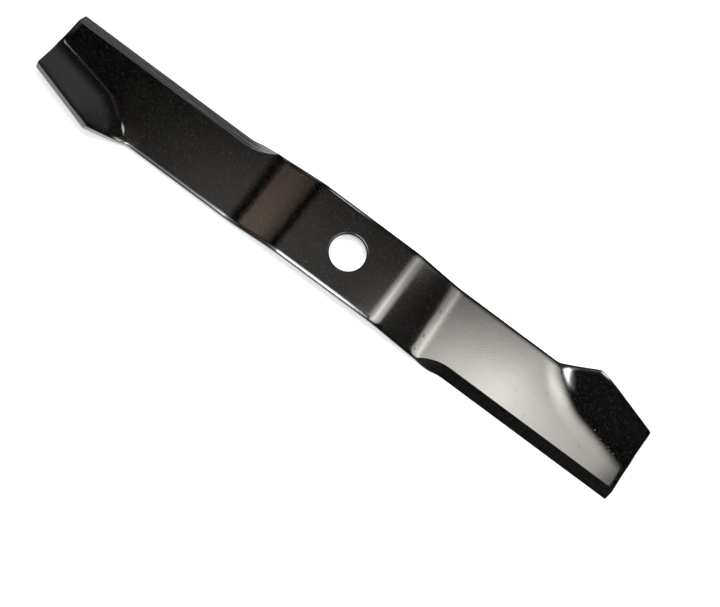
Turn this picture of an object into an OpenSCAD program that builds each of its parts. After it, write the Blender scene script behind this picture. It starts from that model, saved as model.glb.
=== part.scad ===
// Rotary mower blade pressed from one flat steel bar.
// The bar is raised round the mounting hole, runs down a ramp on each side to a flat wing,
// and each wing has a ground cutting edge in front and a sail turned up behind.
// X runs along the blade, Z is up, and the wings rest on the plane z = 0 with the hole on the Z axis.

/* [Bar] */
// Length of the blade from end to end
blade_length = 514; // [460:1:600]
// Width of the flat bar
bar_width = 63.5; // [56:0.5:72]
// Thickness of the bar
bar_thickness = 5.6; // [4:0.1:7]

/* [Mounting hole] */
// Diameter of the hole
hole_diameter = 27; // [16:0.5:34]
// Radius of the rolled edge round the top of the hole
hole_edge_radius = 1.6; // [0.4:0.1:2.4]

/* [Raised centre] */
// Height of the centre above the wings
centre_rise = 8.3; // [4:0.1:14]
// Distance from the hole's axis to the top bend of each ramp
ramp_start = 43; // [34:0.5:52]
// Length of each ramp along the blade, bend to bend
ramp_run = 37.5; // [30:0.5:48]
// Bend radius of the ramp, at half the thickness
ramp_bend_radius = 60; // [30:1:75]

/* [Sail] */
// Angle by which the sail is turned up
sail_angle = 31; // [22:0.5:38]
// Bend radius on the inside of the sail's bend
sail_bend_radius = 35; // [26:1:40]
// Angle between the straight part of the sail's bend and the blade's length
sail_line_angle = 12.5; // [8:0.5:16]
// Distance from the centre line to the bend at the blade's end, towards the cutting edge
sail_line_offset = 11.2; // [8:0.2:13]
// Length of the straight part of the bend, along the blade
sail_straight_run = 50.5; // [46:0.5:54]
// Radius of the curved part of the bend, seen from above
sail_root_radius = 60.5; // [56:0.5:64]
// Distance from the blade's end back to the root of the flare, on the bar's rear edge
flare_root_from_end = 84; // [80:0.2:88]
// Distance from the blade's end back to the sail's flared corner
flare_from_end = 58.2; // [52:0.2:64]
// Reach of the flared corner beyond the bar's edge
flare_reach = 10; // [6:0.2:13]
// Distance of the sail's end corner inside the line of the bar's edge
sail_end_inset = 6.6; // [3:0.2:10]
// Lean of the sail's end edge, back from the blade's end
sail_end_lean = 3.7; // [0:0.1:6]
// Distance behind the centre line at which the end edge starts to lean
sail_end_break = 1; // [-4:0.5:6]

/* [Cutting edge] */
// Angle of the ground bevel to the underside
bevel_angle = 34; // [26:0.5:42]
// Distance of the cutting edge inside the bar's edge
edge_setback = 1.9; // [0.4:0.1:3]
// Length of the straight ground edge, from the blade's end
bevel_length = 148; // [120:1:156]
// Radius of the grinding wheel that shapes the root of the bevel
wheel_radius = 66; // [50:1:80]

/* [Hidden] */
$fn = 120;

half_length = blade_length / 2;
half_width = bar_width / 2;
paint_black = [0.07, 0.07, 0.075];
// Spare length by which a cutter reaches past the metal
spare = 2;
// Hair by which the circle of a bend reaches past its two straight lines, so that it crosses them
bend_ease = 0.01;

ramp_end = ramp_start + ramp_run;
ramp_angle = atan(centre_rise / ramp_run);
ramp_tangent = ramp_bend_radius * tan(ramp_angle / 2);
ramp_inside_radius = ramp_bend_radius - bar_thickness / 2;
middle_plane = bar_thickness / 2;
// Shift of a bend's corner from the middle plane to a face of the bar
ramp_mitre = middle_plane * tan(ramp_angle / 2);

// Bend line of the sail in plan: a straight from the end, then an arc out to the bar's rear edge
line_left = [sin(sail_line_angle), cos(sail_line_angle)];
line_start = [
    half_length - sail_straight_run,
    sail_straight_run * tan(sail_line_angle) - sail_line_offset
];
arc_centre = line_start + sail_root_radius * line_left;
root_turn = acos((arc_centre.y - half_width) / sail_root_radius);
// Direction in plan that the slope of the sail faces, half way round the curved part of its bend
root_facing = heading(90 - (root_turn + sail_line_angle) / 2);
// Turn of the curved sheet beyond the rear edge of the bar, before trimming
sweep_past_edge = 14;
sail_sweep = ceil(root_turn - sail_line_angle + sweep_past_edge);

// Height of the upper face at a distance past the bend line: on the flat, in the bend or on the slope
function sail_top(distance) =
    distance <= 0
        ? bar_thickness
        : distance < sail_bend_radius * sin(sail_angle)
            ? bar_thickness + sail_bend_radius - sqrt(pow(sail_bend_radius, 2) - pow(distance, 2))
            : bar_thickness + (distance - sail_bend_radius * tan(sail_angle / 2)) * tan(sail_angle);
// Distance past the curved part of the bend line
function past_arc(plan) = sail_root_radius - norm(plan - arc_centre);

flare_plan = [half_length - flare_from_end, half_width + flare_reach];
flare_corner = [
    flare_plan.x,
    flare_plan.y,
    sail_top(past_arc(flare_plan))
];
end_plan = [half_length - sail_end_lean, half_width - sail_end_inset];
end_corner = [end_plan.x, end_plan.y, sail_top((end_plan - line_start) * line_left)];
flare_root_plan = [half_length - flare_root_from_end, half_width];
flare_root = [flare_root_plan.x, flare_root_plan.y, sail_top(past_arc(flare_root_plan))];
end_break = [half_length, sail_end_break, end_corner.z];

// Slope of the sail's sheet before trimming, short of the axis of its curved part
sail_slope_length = sail_root_radius * 0.75;
// Width of the sail's sheet on the flat of the wing
flat_lap = 8;
// Reach of the cuts that trim the sail
trim_size = 2.2 * bar_width;

function unit(v) = v / norm(v);
function heading(angle) = [cos(angle), sin(angle)];
// Normal of the upturned sheet where its slope faces the direction given in plan
function sheet_normal(facing, angle) =
    [-facing.x * sin(angle), -facing.y * sin(angle), cos(angle)];

// Corner of a bend between two tangent directions, outside the circle that rounds it
module bend_corner(radius, past, first, turn) {
    difference() {
        polygon([
            [0, 0],
            (radius + past) * heading(first),
            (radius / cos(turn / 2) + past) * heading(first + turn / 2),
            (radius + past) * heading(first + turn)
        ]);
        circle(radius + bend_ease);
    }
}

// Rounds one bend of a sheet section: the outer corner is cut away and the inner one filled
module round_bend(centre, inside_radius, first, turn) {
    fill_lap = bar_thickness / 3;
    difference() {
        children();
        translate(centre)
            bend_corner(inside_radius + bar_thickness, spare, first, turn);
    }
    translate(centre)
        bend_corner(inside_radius, fill_lap, first, turn);
}

// Side view of the bar from the hole to the end, with sharp bends
module sharp_profile() {
    polygon([
        [0, centre_rise],
        [ramp_start - ramp_mitre, centre_rise],
        [ramp_end - ramp_mitre, 0],
        [half_length, 0],
        [half_length, bar_thickness],
        [ramp_end + ramp_mitre, bar_thickness],
        [ramp_start + ramp_mitre, centre_rise + bar_thickness],
        [0, centre_rise + bar_thickness]
    ]);
}

// Side view of half the bar, with its two bends rounded
module half_profile() {
    top_centre = [ramp_start - ramp_tangent, centre_rise + middle_plane - ramp_bend_radius];
    foot_centre = [ramp_end + ramp_tangent, middle_plane + ramp_bend_radius];
    round_bend(foot_centre, ramp_inside_radius, 270 - ramp_angle, ramp_angle)
        round_bend(top_centre, ramp_inside_radius, 90 - ramp_angle, ramp_angle)
            sharp_profile();
}

// The whole bar with its raised centre, at full width to the ends
module pressed_bar() {
    rotate([90, 0, 0])
        linear_extrude(bar_width, center = true) {
            half_profile();
            mirror([1, 0])
                half_profile();
        }
}

// Plan of the metal that the sail's own sheet replaces, with its border on the flat of the wing
module sail_clearing() {
    border = sail_root_radius + flat_lap / 2;
    end_angle = 270 - sail_line_angle;
    past_end = (sail_straight_run + spare) / cos(sail_line_angle) * heading(-sail_line_angle);
    translate([0, 0, -spare])
        linear_extrude(bar_thickness + 2 * spare)
            translate(arc_centre)
                polygon([
                    [0, 0],
                    border * heading(end_angle - sail_sweep),
                    border * heading(end_angle - sail_sweep / 2),
                    border * heading(end_angle - sail_sweep / 12),
                    border * heading(end_angle) + past_end,
                    past_end
                ]);
}

// Section across the sail: a lap of flat sheet, the bend and the slope
module sail_section() {
    outer_radius = sail_bend_radius + bar_thickness;
    corner_out = outer_radius * tan(sail_angle / 2);
    corner_in = sail_bend_radius * tan(sail_angle / 2);
    up_slope = sail_slope_length * heading(sail_angle);
    across = bar_thickness * heading(sail_angle + 90);
    round_bend([0, outer_radius], sail_bend_radius, 270, sail_angle)
        polygon([
            [-flat_lap, 0],
            [corner_out, 0],
            [corner_out, 0] + up_slope,
            [corner_out, 0] + up_slope + across,
            [corner_in, bar_thickness],
            [-flat_lap, bar_thickness]
        ]);
}

// Space to the left of a line, seen along it, bounded by a plane that also holds a second direction
module trim(point, along, up) {
    forward = unit(along);
    left = unit(cross(up, forward));
    rise = cross(forward, left);
    multmatrix([
        [forward.x, left.x, rise.x, point.x],
        [forward.y, left.y, rise.y, point.y],
        [forward.z, left.z, rise.z, point.z],
        [0, 0, 0, 1]
    ])
        translate([-trim_size, 0, -trim_size])
            cube([2 * trim_size, trim_size, 2 * trim_size]);
}

// Sheet turned up along the whole bend line, before trimming
module untrimmed_sail() {
    translate(arc_centre)
        rotate(-sail_line_angle) {
            rotate_extrude(angle = sail_sweep, start = 270 - sail_sweep)
                translate([sail_root_radius, 0])
                    mirror([1, 0])
                        sail_section();
            translate([0, -sail_root_radius, 0])
                rotate([90, 0, 90])
                    linear_extrude(sail_straight_run + trim_size / 4)
                        sail_section();
        }
}

// Sail trimmed to its outline, with edges square to the sheet
module sail() {
    difference() {
        untrimmed_sail();
        intersection() {
            trim(flare_root, [1, 0, 0], [0, 0, 1]);
            trim(flare_root, flare_corner - flare_root, sheet_normal(root_facing, sail_angle / 2));
        }
        trim(flare_corner, end_corner - flare_corner, sheet_normal(line_left, sail_angle));
        trim(end_corner, end_break - end_corner, [0, 0, 1]);
        trim(end_break, [0, -1, 0], [0, 0, 1]);
    }
}

// Metal taken off by grinding one cutting edge
module ground_edge() {
    face_length = bar_thickness / sin(bevel_angle);
    wheel_width = face_length + 4 * spare;
    translate([half_length - bevel_length, edge_setback - half_width, 0])
        rotate([bevel_angle, 0, 0]) {
            translate([0, -2 * spare, 0])
                cube([bevel_length + spare, wheel_width, 2 * bar_thickness]);
            translate([0, -2 * spare, wheel_radius])
                rotate([-90, 0, 0])
                    cylinder(h = wheel_width, r = wheel_radius);
        }
}

// Punched hole with a rolled upper edge
module mounting_hole() {
    radius = hole_diameter / 2;
    top_face = centre_rise + bar_thickness;
    translate([0, 0, centre_rise - spare])
        cylinder(h = bar_thickness + 2 * spare, d = hole_diameter);
    rotate_extrude()
        difference() {
            translate([radius - spare, top_face - hole_edge_radius])
                square([hole_edge_radius + spare, hole_edge_radius + spare]);
            translate([radius + hole_edge_radius, top_face - hole_edge_radius])
                circle(hole_edge_radius);
        }
}

module blade() {
    color(paint_black)
        difference() {
            union() {
                difference() {
                    pressed_bar();
                    for (side = [0, 180])
                        rotate(side)
                            sail_clearing();
                }
                for (side = [0, 180])
                    rotate(side)
                        sail();
            }
            mounting_hole();
            for (side = [0, 180])
                rotate(side)
                    ground_edge();
        }
}

blade();
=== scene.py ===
# %% [markdown]
# # A rotary mower blade
#
# The real blade is one flat steel bar. A press raises its centre and turns up a sail behind each
# wing, a punch makes the hole, a wheel grinds the cutting edges, and gloss black paint covers it all.
# This lesson makes it in the same order: cut a flat blank, round its edges, punch, grind, press, paint.
# The solid part is loaded first, because it says how large the finished blade has to be.

# %% Load the solid part
import bisect
import math
import random

import bmesh
import bpy
from mathutils import Matrix, Vector


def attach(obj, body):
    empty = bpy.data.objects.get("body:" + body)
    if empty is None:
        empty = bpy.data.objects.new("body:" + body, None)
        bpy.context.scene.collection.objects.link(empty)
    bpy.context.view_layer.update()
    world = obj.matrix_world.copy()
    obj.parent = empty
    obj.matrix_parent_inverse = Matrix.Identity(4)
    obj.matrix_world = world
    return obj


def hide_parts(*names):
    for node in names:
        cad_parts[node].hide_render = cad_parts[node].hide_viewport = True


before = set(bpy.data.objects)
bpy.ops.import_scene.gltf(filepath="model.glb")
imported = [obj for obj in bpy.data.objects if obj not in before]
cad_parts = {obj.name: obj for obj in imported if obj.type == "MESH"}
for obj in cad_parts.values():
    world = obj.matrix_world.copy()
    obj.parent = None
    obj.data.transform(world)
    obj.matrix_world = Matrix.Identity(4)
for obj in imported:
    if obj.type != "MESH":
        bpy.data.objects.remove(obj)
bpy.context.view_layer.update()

# %% [markdown]
# ## Sizes of the bar and its bends
#
# The solid part already fixes the sizes, so this cell repeats its values and does not guess new ones.
# A turned-up sail needs three facts: where its bend line runs, how tight the bend is, and how steep the
# sheet gets. The bend line is a straight from the blade's end that runs into an arc.

# %% Sizes
MM = 0.001
bar_length, bar_width, bar_thickness = 514 * MM, 63.5 * MM, 5.6 * MM
half_length, half_width, half_thickness = bar_length / 2, bar_width / 2, bar_thickness / 2

centre_rise, ramp_start, ramp_end = 8.3 * MM, 43 * MM, 80.5 * MM
ramp_angle = math.atan2(centre_rise, ramp_end - ramp_start)

sail_angle = math.radians(31)
sail_radius = 35 * MM + half_thickness
sail_corner = sail_radius * math.tan(sail_angle / 2)
line_angle = math.radians(12.5)
line_along = Vector((math.cos(line_angle), -math.sin(line_angle)))
line_left = Vector((math.sin(line_angle), math.cos(line_angle)))
line_offset, straight_run, root_radius = 11.2 * MM, 50.5 * MM, 60.5 * MM
line_start = Vector((half_length - straight_run, straight_run * math.tan(line_angle) - line_offset))
arc_centre = line_start + root_radius * line_left
print("bend line starts at", [round(v / MM, 1) for v in line_start], "mm")


# %% [markdown]
# ## Measuring from the bend line
#
# Pressing is easy once every point of the blank knows two things: how far it lies past the bend line,
# and which way the slope will face there. One small function answers both for the right-hand wing.
# The blade looks the same after half a turn, so the left-hand wing uses the same function, turned.

# %% Distance past the bend line
def past_bend(point):
    """Distance of a point in plan beyond the sail's bend line, and the way the slope faces there."""
    from_start = point - line_start
    if from_start.dot(line_along) >= 0:
        return from_start.dot(line_left), line_left
    to_centre = arc_centre - point
    return root_radius - to_centre.length, to_centre.normalized()


rear_corner = Vector((half_length, half_width))
print("rear corner of the bar:", round(past_bend(rear_corner)[0] / MM, 1), "mm past the bend line")


# %% [markdown]
# ## Bends that set in gently
#
# Steel does not start to bend at one sharp line: the curve sets in over a few millimetres, is tightest
# in its middle and fades again. An arc of one radius would be simpler, but gloss paint mirrors the
# sudden start of a curve as a hard line. So each bend is added up in small steps into a table of
# places, heights and slopes. Its radius is that of the tightest stretch, so the ramps have smaller
# radii here than the plain arcs of the solid part.

# %% Table of a bend
def bend_table(radius, angle, start_ease, end_ease):
    """Place, height and slope along a bend that sets in and fades gently, with its corner at place 0."""
    length = radius * angle + (start_ease + end_ease) / 2
    steps = 300
    place, height, slope = 0.0, 0.0, 0.0
    rows = [(place, height, slope)]
    for step in range(steps):
        along = length * (step + 0.5) / steps
        share = min(along / start_ease, 1, (length - along) / end_ease)
        middle = slope + share / radius * length / steps / 2
        slope = slope + share / radius * length / steps
        place += math.cos(middle) * length / steps
        height += math.sin(middle) * length / steps
        rows.append((place, height, slope))
    corner = place - height / math.tan(angle)
    return [(place - corner, height, slope) for place, height, slope in rows]


upper_radius, lower_radius = 34 * MM, 46 * MM
sail_bend = bend_table(sail_radius, sail_angle, start_ease=16 * MM, end_ease=6 * MM)
upper_bend = bend_table(upper_radius, ramp_angle, start_ease=5 * MM, end_ease=8 * MM)
lower_bend = bend_table(lower_radius, ramp_angle, start_ease=4 * MM, end_ease=13 * MM)
for bend, table in (("sail", sail_bend), ("upper ramp", upper_bend), ("lower ramp", lower_bend)):
    print(bend, "bend:", round((table[-1][0] - table[0][0]) / MM, 1), "mm long in plan")


# %% Lift of the sheet
def bend_lift(table, place):
    """Height and slope of the sheet's middle at a place measured from the corner of a bend."""
    if place <= table[0][0]:
        return 0.0, 0.0
    if place >= table[-1][0]:
        return place * math.tan(table[-1][2]), table[-1][2]
    after = bisect.bisect(table, (place,))
    (place_a, height_a, slope_a), (place_b, height_b, slope_b) = table[after - 1], table[after]
    share = (place - place_a) / (place_b - place_a)
    return height_a + share * (height_b - height_a), slope_a + share * (slope_b - slope_a)


def sail_lift(distance):
    """Height and slope of the middle of the sheet at a distance past the sail's bend line."""
    return bend_lift(sail_bend, distance - sail_corner)


def ramp_lift(along):
    """Height and downward slope of the middle of the bar at a distance from the hole's axis."""
    if along < (ramp_start + ramp_end) / 2:
        drop, slope = bend_lift(upper_bend, along - ramp_start)
        return centre_rise - drop, slope
    return bend_lift(lower_bend, ramp_end - along)


print("sheet 25 mm past the bend:", round(sail_lift(25 * MM)[0] / MM, 2), "mm up")

# %% [markdown]
# ## The blank
#
# A blank could be drawn as a mesh grid, but a press shop starts from an outline, and so does this
# step: a few corner points make one face, and an extrude gives it the bar's thickness. The sail leans
# back as it rises, so the outline is drawn where the middle of the sheet ends up. The shear drags the
# upper face down all round, more and more towards the edge. So the extrude stops a little short, and
# a few narrow insets raise the face ring by ring to its full height.

# %% Outline of the blank
flare_from_end, flare_reach, flare_root_from_end = 58.2 * MM, 10 * MM, 84 * MM
sail_end_lean, sail_end_inset, sail_end_break = 3.7 * MM, 6.6 * MM, 1 * MM
sheet_lean = half_thickness * math.sin(sail_angle)

flare_top = Vector((half_length - flare_from_end, half_width + flare_reach))
flare_corner = flare_top + sheet_lean * past_bend(flare_top)[1]
end_top = Vector((half_length - sail_end_lean, half_width - sail_end_inset))
end_corner = end_top + sheet_lean * line_left
tip_corner = Vector((half_length, -half_width))
end_break = Vector((half_length, sail_end_break))
sail_root = Vector((half_length - flare_root_from_end, half_width))
half_outline = [tip_corner, end_break, end_corner, flare_corner, sail_root]
outline = half_outline + [-corner for corner in half_outline]
print("outline:", len(outline), "corners, reaching", round(flare_corner.y / MM, 1), "mm from the middle")

# %% Thickness and rolled border
roll_width, roll_drop = 5 * MM, 0.42 * MM
roll_rings = (0, 0.18, 0.28, 0.4, 0.54, 0.7, 0.85, 1)


def rolled_height(share):
    """Height of the upper face at a share of the rolled border, from the edge inwards."""
    return bar_thickness - roll_drop * (1 - share) ** 3


shoulder = rolled_height(0)
blank = bmesh.new()
corners = [blank.verts.new((p.x, p.y, 0)) for p in outline]
underside = blank.faces.new(corners)
raised = bmesh.ops.extrude_face_region(blank, geom=[underside])
raised_verts = [v for v in raised["geom"] if isinstance(v, bmesh.types.BMVert)]
bmesh.ops.translate(blank, verts=raised_verts, vec=(0, 0, shoulder))
bmesh.ops.recalc_face_normals(blank, faces=blank.faces)
upper_face = max(blank.faces, key=lambda face: face.calc_center_median().z)
for outer, inner in zip(roll_rings, roll_rings[1:]):
    bmesh.ops.inset_region(
        blank,
        faces=[upper_face],
        thickness=(inner - outer) * roll_width,
        depth=rolled_height(inner) - rolled_height(outer),
        use_even_offset=True,
    )
print("blank:", len(blank.verts), "vertices,", len(blank.faces), "faces")


# %% [markdown]
# ## Soft corners and edges
#
# Sheared and painted steel has no knife-sharp outline: light runs along every edge as a thin line. A
# Bevel modifier could add that later, but it is cleaner on the plain blank, before any other cut. The
# corners of the sail are rounded in plan first, then the outline above and below.

# %% Round the corners of the sail
NEAR = 1e-6
ROUND_SEGMENTS = 4


def round_edges(mesh, edges, width):
    """Rounds edges of the blank over a width on each side."""
    bmesh.ops.bevel(
        mesh,
        geom=edges,
        offset=width,
        segments=ROUND_SEGMENTS,
        profile=0.5,
        affect="EDGES",
        material=-1,
    )


def upright_edges_at(mesh, point):
    """Upright edges of the blank at a corner of the outline and at its twin half a turn round."""
    found = []
    for edge in mesh.edges:
        a, b = (v.co for v in edge.verts)
        upright = abs(a.z - b.z) > half_thickness
        if upright and min((a.xy - point).length, (a.xy + point).length) < NEAR:
            found.append(edge)
    return found


for corner, width in ((end_corner, 1.2 * MM), (flare_corner, 1.2 * MM), (sail_root, 2.2 * MM)):
    round_edges(blank, upright_edges_at(blank, corner), width)
print("blank with rounded corners:", len(blank.faces), "faces")

# %% Round the outline above and below
upper_rim, lower_rim = 0.5 * MM, 0.6 * MM
STEEP_NORMAL = 0.1


def rim_edges_at(mesh, height):
    """Edges at a height where an upright wall of the blank meets a level face."""
    level = [e for e in mesh.edges if all(abs(v.co.z - height) < NEAR for v in e.verts)]
    return [e for e in level if any(abs(f.normal.z) < STEEP_NORMAL for f in e.link_faces)]


for height, width in ((shoulder, upper_rim), (0, lower_rim)):
    round_edges(blank, rim_edges_at(blank, height), width)
print("rounded blank:", len(blank.verts), "vertices,", len(blank.faces), "faces")

# %% [markdown]
# ## Punch and wheel
#
# The hole and the cutting edges take metal away, which a Boolean modifier does well while the blank
# is still flat. The punch is a profile spun round the hole's axis: its wall widens in a quarter round
# at the top, because the hole's upper rim is rolled. The wheel is a side view, swept across the edge:
# flat along the cutting edge and curved at its root, where the grinding wheel lifted out.

# %% Punch for the hole
hole_radius, rim_radius, spare = 13.5 * MM, 1.6 * MM, 2 * MM
lip_steps, hole_steps, weld_distance = 8, 96, 1e-7
cutters = bmesh.new()
foot = cutters.verts.new((hole_radius, 0, -spare))
neck = cutters.verts.new((hole_radius, 0, bar_thickness - rim_radius))
cutters.edges.new((foot, neck))
rolled = bmesh.ops.spin(
    cutters,
    geom=[neck],
    cent=(hole_radius + rim_radius, 0, bar_thickness - rim_radius),
    axis=(0, 1, 0),
    angle=math.pi / 2,
    steps=lip_steps,
)
lip = [v for v in rolled["geom_last"] if isinstance(v, bmesh.types.BMVert)][0]
top_edge = cutters.verts.new((hole_radius + rim_radius, 0, bar_thickness + spare))
top_middle = cutters.verts.new((0, 0, bar_thickness + spare))
foot_middle = cutters.verts.new((0, 0, -spare))
for pair in ((lip, top_edge), (top_edge, top_middle), (foot_middle, foot)):
    cutters.edges.new(pair)
bmesh.ops.spin(
    cutters,
    geom=list(cutters.verts) + list(cutters.edges),
    cent=(0, 0, 0),
    axis=(0, 0, 1),
    angle=2 * math.pi,
    steps=hole_steps,
    use_merge=True,
)
bmesh.ops.remove_doubles(cutters, verts=cutters.verts, dist=weld_distance)
bmesh.ops.recalc_face_normals(cutters, faces=cutters.faces)
print("punch:", len(cutters.faces), "faces, rolled lip at", [round(v / MM, 2) for v in lip.co])

# %% Side view of the wheel path
bevel_angle, edge_setback, bevel_length = math.radians(34), 1.9 * MM, 148 * MM
wheel_radius, wheel_lift, wheel_height = 66 * MM, math.radians(40), 25 * MM
lift_steps = 60

wheel = bmesh.new()
contact = wheel.verts.new((0, -2 * spare, 0))
lifted = bmesh.ops.spin(
    wheel,
    geom=[contact],
    cent=(0, 0, wheel_radius),
    axis=(0, 1, 0),
    angle=wheel_lift,
    steps=lift_steps,
)
last = [v for v in lifted["geom_last"] if isinstance(v, bmesh.types.BMVert)][0]
side_view = [
    wheel.verts.new((last.co.x, last.co.y, wheel_height)),
    wheel.verts.new((bevel_length + spare, last.co.y, wheel_height)),
    wheel.verts.new((bevel_length + spare, last.co.y, 0)),
]
chain = [last] + side_view + [contact]
for a, b in zip(chain, chain[1:]):
    wheel.edges.new((a, b))
bmesh.ops.contextual_create(wheel, geom=list(wheel.edges))
print("wheel path curves up to", [round(v / MM, 1) for v in last.co.xz], "mm")

# %% Sweep the wheel across both cutting edges
GROUND = 1
face_length = bar_thickness / math.sin(bevel_angle)
swept = bmesh.ops.extrude_face_region(wheel, geom=list(wheel.faces))
swept_verts = [v for v in swept["geom"] if isinstance(v, bmesh.types.BMVert)]
bmesh.ops.translate(wheel, verts=swept_verts, vec=(0, face_length + 4 * spare, 0))
bmesh.ops.recalc_face_normals(wheel, faces=wheel.faces)
wheel_place = Matrix.Translation((half_length - bevel_length, edge_setback - half_width, 0))
wheel_tilt = Matrix.Rotation(bevel_angle, 4, "X")
bmesh.ops.transform(wheel, matrix=wheel_place @ wheel_tilt, verts=wheel.verts)
twin = bmesh.ops.duplicate(wheel, geom=list(wheel.verts) + list(wheel.edges) + list(wheel.faces))
twin_verts = [v for v in twin["geom"] if isinstance(v, bmesh.types.BMVert)]
bmesh.ops.rotate(wheel, verts=twin_verts, cent=(0, 0, 0), matrix=Matrix.Rotation(math.pi, 3, "Z"))
for face in wheel.faces:
    face.material_index = GROUND
print("wheel path:", len(wheel.faces), "faces on both wings")

# %% Punch and grind the blank
paint = bpy.data.materials.new("gloss_black_paint")
ground = bpy.data.materials.new("painted_ground_edge")


def as_object(mesh_data, name):
    """A new object in the scene that holds a bmesh and the two finishes."""
    mesh = bpy.data.meshes.new(name)
    mesh_data.to_mesh(mesh)
    mesh_data.free()
    for finish in (paint, ground):
        mesh.materials.append(finish)
    made = bpy.data.objects.new(name, mesh)
    bpy.context.scene.collection.objects.link(made)
    return made


blank_object = as_object(blank, "blank")
tools = [as_object(cutters, "punch"), as_object(wheel, "wheel_path")]
for tool in tools:
    cut = blank_object.modifiers.new(tool.name, "BOOLEAN")
    cut.operation, cut.solver, cut.material_mode, cut.object = "DIFFERENCE", "EXACT", "INDEX", tool
bpy.context.view_layer.update()
blade = bmesh.new()
blade.from_object(blank_object, bpy.context.evaluated_depsgraph_get())
for used in tools + [blank_object]:
    bpy.data.objects.remove(used)
ground_faces = sum(face.material_index == GROUND for face in blade.faces)
print("ground blank:", len(blade.faces), "faces,", ground_faces, "of them ground")


# %% [markdown]
# ## Press it
#
# Bending needs vertices to bend. Straight cuts across the ramps, and a finer grid of cuts under the
# sails, give the press something to move while the flat of each wing stays one clean face. Every
# vertex then takes the height of the middle of the sheet, and its own distance from that middle is
# laid along the sheet's tilted normal, so the thickness and the square edges survive the bend.

# %% Cut lines for the ramps
def cut_wing(mesh, inner_end, position, across):
    """One straight cut through both wings, in the faces that lie beyond a distance from the hole."""
    for side in (1, -1):
        wing = [f for f in mesh.faces if inner_end is None or f.calc_center_median().x * side > inner_end]
        parts = {v for f in wing for v in f.verts} | {e for f in wing for e in f.edges} | set(wing)
        point = Vector((0, position, 0)) if across == "Y" else Vector((position, 0, 0))
        normal = (0, 1, 0) if across == "Y" else (1, 0, 0)
        bmesh.ops.bisect_plane(mesh, geom=list(parts), dist=NEAR, plane_co=point * side, plane_no=normal)


bend_steps = 20
for corner, inward, table in ((ramp_start, 1, upper_bend), (ramp_end, -1, lower_bend)):
    bend_start, bend_end = table[0][0], table[-1][0]
    for step in range(bend_steps + 1):
        from_corner = bend_start + (bend_end - bend_start) * step / bend_steps
        cut_wing(blade, None, corner + inward * from_corner, "X")
print("cut for the ramps:", len(blade.faces), "faces")

# %% Cut lines for the sails
sail_zone, grid_step, first_line = 155 * MM, 1.5 * MM, -20 * MM
just_inside = sail_zone - 1e-4
cut_wing(blade, None, sail_zone, "X")
across_cuts = int((half_length - upper_rim - sail_zone) / grid_step)
for step in range(1, across_cuts + 1):
    cut_wing(blade, just_inside, sail_zone + step * grid_step, "X")
along_cuts = int((flare_corner.y - first_line) / grid_step)
for step in range(along_cuts + 1):
    cut_wing(blade, just_inside, first_line + step * grid_step, "Y")
print("ready for the press:", len(blade.verts), "vertices,", len(blade.faces), "faces")


# %% Press
def press(point):
    """Moves one point of the flat blank to its place on the pressed blade."""
    side = 1 if point.x >= 0 else -1
    plan, offset = Vector((point.x, point.y)) * side, point.z - half_thickness
    lift, slope = ramp_lift(plan.x)
    plan = plan + Vector((offset * math.sin(slope), 0))
    height = lift + offset * math.cos(slope)
    if point.x * side > sail_zone:
        distance, facing = past_bend(Vector((point.x, point.y)) * side)
        lift, slope = sail_lift(distance)
        plan = plan - facing * offset * math.sin(slope)
        height = lift + offset * math.cos(slope)
    return Vector((plan.x * side, plan.y * side, height + half_thickness))


for vert in blade.verts:
    vert.co = press(vert.co)
bmesh.ops.remove_doubles(blade, verts=blade.verts, dist=NEAR)
bmesh.ops.dissolve_degenerate(blade, edges=blade.edges, dist=NEAR)
blade_object = as_object(blade, "mower_blade")
print("pressed blade:", len(blade_object.data.polygons), "faces")

# %% [markdown]
# ## Smooth shading that keeps the flats flat
#
# Gloss paint shows every small fault of the shading. Smooth shading alone would let the narrow rounded
# edges tilt the normals of the wide flats beside them. The Weighted Normal modifier lets the large
# faces decide instead, and edges with a sharp angle stay sharp.

# %% Shade the blade
sharp_from = math.radians(24)
blade_mesh = blade_object.data
blade_mesh.shade_smooth()
blade_mesh.set_sharp_from_angle(angle=sharp_from)
flat_normals = blade_object.modifiers.new("flat_normals", "WEIGHTED_NORMAL")
flat_normals.keep_sharp = True
flat_normals.weight = 100
sharp_edges = sum(edge.use_edge_sharp for edge in blade_mesh.edges)
print("shaded blade:", sharp_edges, "sharp edges of", len(blade_mesh.edges))

# %% [markdown]
# ## Dust in the paint
#
# Grains of dust that settle on wet enamel dry in as low bumps, which painters call nibs. A bump in the
# material could stand for them, but each nib is a form of its own, so it is a flattened ball that sits
# on the pressed sheet and leans with it. The larger ones are listed one by one, about where the
# photograph has them, and the smaller ones are strewn with a fixed seed, so that every run gives the same
# blade.

# %% Places of the nibs
# Each nib: distance along and across the flat blank, and width, in millimetres
nib_places = (
    (222, 6, 2.0),
    (229, 3, 1.8),
    (231, 1, 1.2),
    (233, 1, 1.6),
    (237, 2, 1.3),
    (239, 0, 1.8),
    (243, 0, 1.7),
    (200, 36, 1.6),
    (237, 24, 1.2),
    (180, 24, 1.5),
    (183, 21, 1.3),
    (79, 8, 1.6),
    (79, -14, 1.9),
    (79, -26, 1.4),
    (-205, -2, 1.4),
    (-224, 6, 1.2),
    (-168, -20, 1.5),
    (-20, -24, 1.3),
)
strewn_grains, strewn_along, strewn_across, hole_margin = 60, 240, 18, 20
finest_grain, coarsest_grain = 0.5, 0.9
dust = random.Random(5)
strewn = []
for grain in range(strewn_grains):
    along = dust.uniform(-strewn_along, strewn_along)
    across = dust.uniform(-strewn_across, strewn_across)
    strewn.append((along, across, dust.uniform(finest_grain, coarsest_grain)))
clear_of_hole = [place for place in strewn if math.hypot(place[0], place[1]) > hole_margin]
print("strewn grains clear of the hole:", len(clear_of_hole), "of", strewn_grains)

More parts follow.
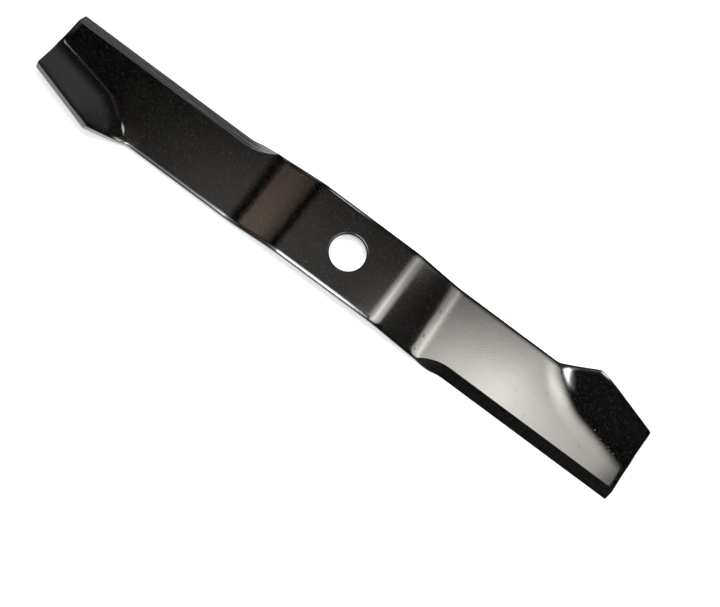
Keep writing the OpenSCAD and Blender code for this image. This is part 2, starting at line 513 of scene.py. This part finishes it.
# %% Dust nibs in the paint
nib_flatness = 0.12
flatten = Matrix.Diagonal((1, 1, nib_flatness, 1))
nib_mesh = bmesh.new()
for along, across, width in list(nib_places) + clear_of_hole:
    nib_foot = Vector((along * MM, across * MM, bar_thickness))
    seat = press(nib_foot)
    upright = (press(nib_foot + Vector((0, 0, MM))) - seat).normalized()
    lean = Vector((0, 0, 1)).rotation_difference(upright).to_matrix().to_4x4()
    bmesh.ops.create_icosphere(
        nib_mesh,
        subdivisions=2,
        radius=width / 2 * MM,
        matrix=Matrix.Translation(seat) @ lean @ flatten,
    )
nibs = as_object(nib_mesh, "paint_nibs")
nibs.data.shade_smooth()
print("dust nibs:", len(nib_places) + len(clear_of_hole))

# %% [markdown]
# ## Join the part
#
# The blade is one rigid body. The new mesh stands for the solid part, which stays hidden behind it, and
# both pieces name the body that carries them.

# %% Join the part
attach(nibs, "root")
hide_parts("blade")
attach(blade_object, "root")
print("pieces of the part:", blade_object.name, "and", nibs.name)


# %% [markdown]
# ## Paint
#
# Black enamel is dark all through and shines at its surface, so most of what the eye sees is what the
# paint reflects. A plain glossy shader would look like glass. Real sprayed paint has a fine ripple
# called orange peel, slow waves left by the press, and a fine grain of paler specks. On the ground edge
# the wheel's long scratches show through, so that finish adds streaks and is a little rougher.

# %% Helpers for the finishes
def shader_of(material):
    """The empty node tree of a material, with its surface shader joined to the output."""
    material.use_nodes = True
    tree = material.node_tree
    tree.nodes.clear()
    output = tree.nodes.new("ShaderNodeOutputMaterial")
    surface = tree.nodes.new("ShaderNodeBsdfPrincipled")
    tree.links.new(surface.outputs["BSDF"], output.inputs["Surface"])
    return tree, surface


def noise_at(tree, place, scale, detail):
    """The grey value of a noise of a given scale."""
    noise = tree.nodes.new("ShaderNodeTexNoise")
    noise.inputs["Scale"].default_value = scale
    noise.inputs["Detail"].default_value = detail
    tree.links.new(place, noise.inputs["Vector"])
    return noise.outputs["Fac"]


def ripple(tree, height, depth, under=None):
    """A bump made by a grey value, with its depth in metres, over an earlier bump."""
    bump = tree.nodes.new("ShaderNodeBump")
    bump.inputs["Distance"].default_value = depth
    tree.links.new(height, bump.inputs["Height"])
    if under is not None:
        tree.links.new(under.outputs["Normal"], bump.inputs["Normal"])
    return bump


speckle_scale, peel_scale, gloss_scale, wave_scale = 1200, 1000, 60, 35
peel_size, wave_size = 1 / peel_scale / MM, 1 / wave_scale / MM
print("orange peel about", round(peel_size, 1), "mm across, waves about", round(wave_size), "mm")


# %% Gloss black paint
speck_from, speck_full = 0.48, 0.7
deep_black, pale_speck = (0.0003, 0.0003, 0.0003, 1), (0.037, 0.035, 0.031, 1)
least_rough, most_rough, coat_rough = 0.05, 0.08, 0.03
wave_depth, peel_depth = 0.00006, 0.000015
streak_stretch = (12, 450, 450)


def paint_nodes(material, extra_roughness=0.0, streak_depth=0.0):
    """Gives a material the black enamel: dark with specks, orange peel, slow waves and uneven gloss."""
    tree, surface = shader_of(material)
    place = tree.nodes.new("ShaderNodeTexCoord").outputs["Object"]
    speckle = noise_at(tree, place, speckle_scale, detail=3)
    shade = tree.nodes.new("ShaderNodeValToRGB")
    dark_stop, pale_stop = shade.color_ramp.elements
    dark_stop.position, pale_stop.position = speck_from, speck_full
    dark_stop.color, pale_stop.color = deep_black, pale_speck
    tree.links.new(speckle, shade.inputs["Fac"])
    tree.links.new(shade.outputs["Color"], surface.inputs["Base Color"])
    gloss = tree.nodes.new("ShaderNodeMapRange")
    gloss.inputs["To Min"].default_value = least_rough + extra_roughness
    gloss.inputs["To Max"].default_value = most_rough + extra_roughness
    tree.links.new(noise_at(tree, place, gloss_scale, detail=5), gloss.inputs["Value"])
    tree.links.new(gloss.outputs["Result"], surface.inputs["Roughness"])
    waves = ripple(tree, noise_at(tree, place, wave_scale, detail=1), wave_depth)
    peel = ripple(tree, noise_at(tree, place, peel_scale, detail=2), peel_depth, waves)
    if streak_depth > 0:
        drawn_out = tree.nodes.new("ShaderNodeVectorMath")
        drawn_out.operation = "MULTIPLY"
        drawn_out.inputs[1].default_value = streak_stretch
        tree.links.new(place, drawn_out.inputs[0])
        streaks = noise_at(tree, drawn_out.outputs["Vector"], scale=1, detail=3)
        peel = ripple(tree, streaks, streak_depth, peel)
    for socket in ("Normal", "Coat Normal"):
        tree.links.new(peel.outputs["Normal"], surface.inputs[socket])
    surface.inputs["Coat Weight"].default_value = 1.0
    surface.inputs["Coat Roughness"].default_value = coat_rough


paint_nodes(paint)
paint_nodes(ground, extra_roughness=0.03, streak_depth=0.0001)
print("finishes:", paint.name, "and", ground.name)

# %% [markdown]
# ## Floor
#
# The photograph is a cut-out on white, taken from almost straight above. A large pale floor gives that
# white and takes a soft shadow. More light would also make it white, but it would wash out the blade.
# So the floor adds a glow of its own, for the camera and in what the paint mirrors.

# %% Floor
floor_half_size, floor_gap = 4, 0.0004
floor_mesh = bmesh.new()
bmesh.ops.create_grid(floor_mesh, x_segments=1, y_segments=1, size=floor_half_size)
bmesh.ops.translate(floor_mesh, verts=floor_mesh.verts, vec=(0, 0, -floor_gap))
floor_data = bpy.data.meshes.new("floor")
floor_mesh.to_mesh(floor_data)
floor_mesh.free()
floor = bpy.data.objects.new("floor", floor_data)
bpy.context.scene.collection.objects.link(floor)
print("floor:", 2 * floor_half_size, "m square,", round(floor_gap / MM, 1), "mm under the blade")


# %% White of the floor
def times(tree, value, factor):
    """A value of a node tree multiplied by a number."""
    product = tree.nodes.new("ShaderNodeMath")
    product.operation = "MULTIPLY"
    tree.links.new(value, product.inputs[0])
    product.inputs[1].default_value = factor
    return product.outputs["Value"]


def seen_glow(tree, to_camera, to_gloss):
    """A glow with one strength for the camera and another for mirror-like and clear surfaces."""
    path = tree.nodes.new("ShaderNodeLightPath")
    total = times(tree, path.outputs["Is Camera Ray"], to_camera)
    for kind in ("Is Glossy Ray", "Is Transmission Ray"):
        largest = tree.nodes.new("ShaderNodeMath")
        largest.operation = "MAXIMUM"
        tree.links.new(total, largest.inputs[0])
        tree.links.new(times(tree, path.outputs[kind], to_gloss), largest.inputs[1])
        total = largest.outputs["Value"]
    return total


floor_white = bpy.data.materials.new("floor_white")
floor_data.materials.append(floor_white)
floor_tree, floor_surface = shader_of(floor_white)
floor_surface.inputs["Base Color"].default_value = (0.85, 0.85, 0.85, 1)
floor_surface.inputs["Roughness"].default_value = 0.9
floor_surface.inputs["Specular IOR Level"].default_value = 0.0
floor_surface.inputs["Emission Color"].default_value = (1, 1, 1, 1)
floor_glow = seen_glow(floor_tree, to_camera=0.7, to_gloss=1.0)
floor_tree.links.new(floor_glow, floor_surface.inputs["Emission Strength"])
print("floor finish:", len(floor_tree.nodes), "nodes")


# %% [markdown]
# ## Lamps
#
# Black paint shows little but its reflections, so each lamp stands where a face of the blade mirrors it
# towards the camera. Three lamps behind the blade show along the bend of the left-hand sail, and a
# warm one is aimed at the root of the right-hand sail. An area lamp is enough for these highlights. Its
# power is worked out from the brightness of its face, so a lamp can change its size and still look as
# bright in the paint.

# %% Lamps
def soft_panel(name, at, toward, size, radiance, colour=(1, 1, 1)):
    """A rectangular lamp with a given brightness of its face, aimed at a point."""
    lamp = bpy.data.lights.new(name, "AREA")
    lamp.shape = "RECTANGLE"
    lamp.size, lamp.size_y = size
    lamp.energy = radiance * math.pi * size[0] * size[1]
    lamp.color = colour
    holder = bpy.data.objects.new(name, lamp)
    bpy.context.scene.collection.objects.link(holder)
    holder.location = at
    holder.rotation_euler = (Vector(toward) - Vector(at)).to_track_quat("-Z", "Y").to_euler()
    holder.visible_camera = False
    print(name, round(lamp.energy, 2), "W")


DUSKY_WHITE, WARM_LAMP = (1.0, 0.8, 0.72), (1.0, 0.82, 0.76)
sail_root_left, sail_end_left, sail_middle_left = (-0.18, -0.02, 0), (-0.25, 0, 0), (-0.21, 0, 0)
sail_root_right = (0.18, 0.03, 0)
soft_panel("back_lamp", (-0.1, 0.78, 1.4), sail_root_left, size=(0.09, 0.26), radiance=6)
soft_panel("end_strip", (-0.86, 1.18, 1.4), sail_end_left, size=(0.28, 0.1), radiance=3)
soft_panel("dim_strip", (-0.41, 1.18, 1.4), sail_middle_left, (0.62, 0.1), 0.25, DUSKY_WHITE)
soft_panel("side_lamp", (-0.5, -0.3, 1.4), sail_root_right, (0.22, 0.22), 5, WARM_LAMP)


# %% [markdown]
# ## Walls of the room
#
# Everything that is not a lamp, a panel or the floor comes from the world. Its brightness follows the
# height of the view: pale low down, like walls, and almost black overhead, so the paint stays dark. A
# colour ramp with a few stops does that, and a helper sets it up, because the panels need the same. The
# camera itself sees plain white instead, as in the photograph.

# %% Brightness that follows stops
def stops_along(tree, value, stops, colour=(1, 1, 1)):
    """A colour that follows stops (place, brightness) along a value, and the brightest stop."""
    first, last = stops[0][0], stops[-1][0]
    brightest = max(brightness for place, brightness in stops)
    share = tree.nodes.new("ShaderNodeMapRange")
    share.inputs["From Min"].default_value, share.inputs["From Max"].default_value = first, last
    tree.links.new(value, share.inputs["Value"])
    fade = tree.nodes.new("ShaderNodeValToRGB")
    elements = fade.color_ramp.elements
    while len(elements) < len(stops):
        elements.new(0.5)
    for element, (place, brightness) in zip(elements, stops):
        element.position = (place - first) / (last - first)
    for element, (place, brightness) in zip(elements, stops):
        element.color = [brightness / brightest * part for part in colour] + [1]
    tree.links.new(share.outputs["Result"], fade.inputs["Fac"])
    return fade.outputs["Color"], brightest


wall_stops = ((0.0, 0.45), (0.1, 0.4), (0.4, 0.2), (0.6, 0.03), (1.0, 0.01))
print("walls:", wall_stops[0][1], "at the floor, down to", wall_stops[-1][1], "overhead")

# %% World
world = bpy.data.worlds.new("studio")
bpy.context.scene.world = world
world.use_nodes = True
sky = world.node_tree
background = sky.nodes["Background"]
direction = sky.nodes.new("ShaderNodeSeparateXYZ")
sky.links.new(sky.nodes.new("ShaderNodeTexCoord").outputs["Generated"], direction.inputs["Vector"])
wall_fade, wall_white = stops_along(sky, direction.outputs["Z"], wall_stops)
backdrop = sky.nodes.new("ShaderNodeMix")
backdrop.data_type = "RGBA"
sky.links.new(sky.nodes.new("ShaderNodeLightPath").outputs["Is Camera Ray"], backdrop.inputs["Factor"])
sky.links.new(wall_fade, backdrop.inputs["A"])
backdrop.inputs["B"].default_value = (1 / wall_white, 1 / wall_white, 1 / wall_white, 1)
sky.links.new(backdrop.outputs["Result"], background.inputs["Color"])
background.inputs["Strength"].default_value = wall_white
print("world:", world.name, "with", len(sky.nodes), "nodes")


# %% [markdown]
# ## Graded panels
#
# A wide flat of gloss paint mirrors a wide piece of the room, and in a studio that is a soft panel that
# fades towards its edges. An area lamp has one brightness all over, so these panels are flat sheets
# that glow, with a brightness that follows a few stops along and across. The ceiling panel gives the
# right-hand wing its grey and the right-hand ramp its bright bands. The front lamp is the white patch at
# the root of the right-hand sail, and the warm card is the brown tone of the left-hand ramp.

# %% Sheets that glow
def level_sheet(name, low, high, height):
    """A flat sheet between two corners in plan, hidden from the camera."""
    grid = bmesh.new()
    bmesh.ops.create_grid(grid, x_segments=1, y_segments=1, size=0.5)
    bmesh.ops.scale(grid, verts=grid.verts, vec=(high.x - low.x, high.y - low.y, 1))
    bmesh.ops.translate(grid, verts=grid.verts, vec=((low.x + high.x) / 2, (low.y + high.y) / 2, height))
    data = bpy.data.meshes.new(name)
    grid.to_mesh(data)
    grid.free()
    panel = bpy.data.objects.new(name, data)
    bpy.context.scene.collection.objects.link(panel)
    panel.visible_camera = False
    print(name, "from", [round(v, 2) for v in low], "to", [round(v, 2) for v in high], "m")
    return data


def graded_panel(name, height, along, across, colour=(1, 1, 1), skew=0.0):
    """A level panel of light: brightness by stops along X, shifted with Y, times shares across Y."""
    low, high = Vector((along[0][0], across[0][0])), Vector((along[-1][0], across[-1][0]))
    data = level_sheet(name, low, high, height)
    light = bpy.data.materials.new(name + "_light")
    data.materials.append(light)
    light.use_nodes = True
    tree = light.node_tree
    tree.nodes.clear()
    output = tree.nodes.new("ShaderNodeOutputMaterial")
    glow = tree.nodes.new("ShaderNodeEmission")
    tree.links.new(glow.outputs["Emission"], output.inputs["Surface"])
    split = tree.nodes.new("ShaderNodeSeparateXYZ")
    tree.links.new(tree.nodes.new("ShaderNodeTexCoord").outputs["Object"], split.inputs["Vector"])
    shifted = tree.nodes.new("ShaderNodeMath")
    shifted.operation = "SUBTRACT"
    tree.links.new(split.outputs["X"], shifted.inputs[0])
    tree.links.new(times(tree, split.outputs["Y"], skew), shifted.inputs[1])
    tint, brightest = stops_along(tree, shifted.outputs["Value"], along, colour)
    share, largest = stops_along(tree, split.outputs["Y"], across)
    tree.links.new(tint, glow.inputs["Color"])
    tree.links.new(times(tree, share, brightest * largest), glow.inputs["Strength"])


ceiling_height, front_height, card_height = 1.4, 0.8, 4.9
print("panels hang at", ceiling_height, front_height, "and", card_height, "m")

# %% Ceiling panel
ceiling_along = (
    (-0.8, 0.0),
    (-0.64, 0.11),
    (-0.44, 0.43),
    (-0.09, 0.36),
    (-0.04, 0.6),
    (0.02, 2.7),
    (0.1, 4.2),
    (0.28, 10.0),
    (0.36, 7.7),
    (0.43, 6.3),
    (0.53, 4.8),
    (0.57, 3.2),
    (0.61, 0.7),
    (0.65, 0.1),
    (0.9, 0.1),
)
ceiling_across = (
    (-0.24, 0.0),
    (-0.16, 0.03),
    (-0.06, 0.22),
    (0.04, 0.55),
    (0.16, 0.88),
    (0.24, 1.0),
    (0.37, 1.0),
    (0.41, 0.9),
    (0.455, 0.65),
    (0.5, 0.46),
    (0.7, 0.3),
    (0.95, 0.0),
)
WARM_WHITE = (1.0, 0.965, 0.9)
graded_panel("ceiling_panel", ceiling_height, ceiling_along, ceiling_across, WARM_WHITE, skew=0.35)

# %% Front lamp and warm card
front_along = (
    (-0.6, 0.0),
    (-0.45, 0.8),
    (-0.3, 2.0),
    (-0.22, 4.0),
    (-0.16, 15.0),
    (0.02, 15.0),
    (0.06, 3.0),
    (0.12, 0.0),
)
front_across = (
    (-0.3, 0.0),
    (-0.18, 0.08),
    (-0.12, 0.3),
    (-0.08, 1.0),
    (0.05, 1.0),
    (0.09, 0.2),
    (0.13, 0.0),
)
graded_panel("front_lamp", front_height, front_along, front_across)

card_along = (
    (-3.4, 0.0),
    (-3.25, 0.4),
    (-3.11, 0.6),
    (-3.05, 1.1),
    (-2.98, 1.1),
    (-2.925, 0.55),
    (-2.88, 0.2),
    (-2.6, 0.17),
    (-2.2, 0.12),
    (-2.1, 0.0),
)
card_across = ((0.9, 1.2), (1.52, 1.2), (1.74, 0.95), (1.96, 0.65), (2.6, 0.5))
CARD_BROWN = (1.0, 0.75, 0.61)
graded_panel("warm_card", card_height, card_along, card_across, CARD_BROWN)

# %% [markdown]
# ## Camera
#
# The camera's place was found by fitting the edges of the bar to the photograph: it stands about 0.75 m
# away, a little in front of the blade, and is turned so that the blade runs from top left to bottom
# right. It could be aimed at a point, but its three directions also keep that turn.

# %% Camera
camera_at = Vector((0.0117, -0.2138, 0.7134))
to_right = (0.80268, 0.57069, 0.17325)
to_top = (-0.59596, 0.77881, 0.19568)
to_back = (-0.02326, -0.26032, 0.96524)

camera_data = bpy.data.cameras.new("camera")
camera_data.sensor_width, camera_data.sensor_fit = 36, "HORIZONTAL"
camera_data.lens = 51.0
camera_data.clip_start, camera_data.clip_end = 0.01, 50
camera = bpy.data.objects.new("camera", camera_data)
bpy.context.scene.collection.objects.link(camera)
camera_turn = Matrix((to_right, to_top, to_back)).transposed().to_4x4()
camera.matrix_world = Matrix.Translation(camera_at) @ camera_turn
bpy.context.scene.camera = camera
bpy.context.scene.view_settings.view_transform = "Standard"
print("camera:", round(camera_at.length, 3), "m from the foot of the hole's axis")
